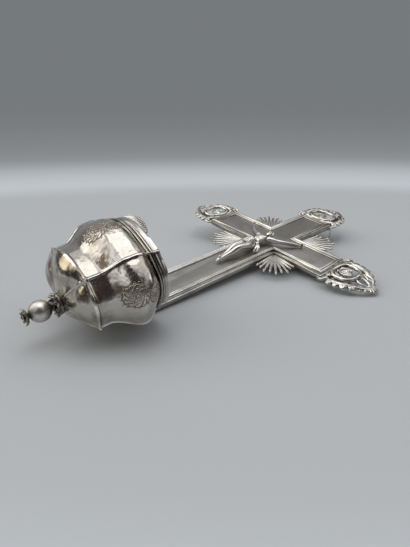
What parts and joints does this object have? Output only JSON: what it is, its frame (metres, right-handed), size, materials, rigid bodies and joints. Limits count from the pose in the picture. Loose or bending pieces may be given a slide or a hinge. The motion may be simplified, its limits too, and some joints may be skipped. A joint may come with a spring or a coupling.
{
  "type": "wall holy water font",
  "caption": "Silver wall stoup: a crucifix with pierced terminals and rays above a panelled bowl with a fruit finial, hung by a swinging wire bail.",
  "frame": {"origin": "on the flat back of the cross plate, behind the middle of the crossing", "axes": "+X to the arm at the viewer's right, +Y to the head of the cross, +Z out of the front"},
  "size_m": [0.1502, 0.2321, 0.0578],
  "materials": {
    "bright_silver": "polished silver, lightly tarnished",
    "cast_silver": "cast and chased silver, tarnish in the recesses",
    "matted_silver": "matted silver ground"
  },
  "bodies": {
    "font": {"cross_plate": "matted_silver", "border_head": "bright_silver", "border_left": "bright_silver", "border_right": "bright_silver", "border_shaft_left": "bright_silver", "border_shaft_right": "bright_silver", "bowl_upper": "bright_silver", "bowl_lower": "bright_silver", "bowl_back_plate": "matted_silver", "rim_moulding": "bright_silver", "rim_crest": "cast_silver", "rivet_upper": "cast_silver", "rivet_lower": "cast_silver", "finial_stem": "cast_silver", "calyx": "cast_silver", "fruit": "bright_silver", "fruit_crown": "cast_silver", "terminal_head": "cast_silver", "terminal_left": "cast_silver", "terminal_right": "cast_silver", "rays_upper_right": "cast_silver", "rays_upper_left": "cast_silver", "rays_lower_left": "cast_silver", "rays_lower_right": "cast_silver", "corpus": "cast_silver", "nail_left_hand": "bright_silver", "nail_right_hand": "bright_silver", "nail_feet": "bright_silver", "bail_lug_left": "cast_silver", "bail_lug_right": "cast_silver"},
    "bail": {"hanging_bail": "bright_silver"}
  },
  "joints": [
    {"name": "bail_swing", "type": "hinge", "parent": "font", "child": "bail", "pos_m": [0, 0.04835, -0.00065], "axis": [1, 0, 0], "range_deg": [-88, 88]}
  ]
}
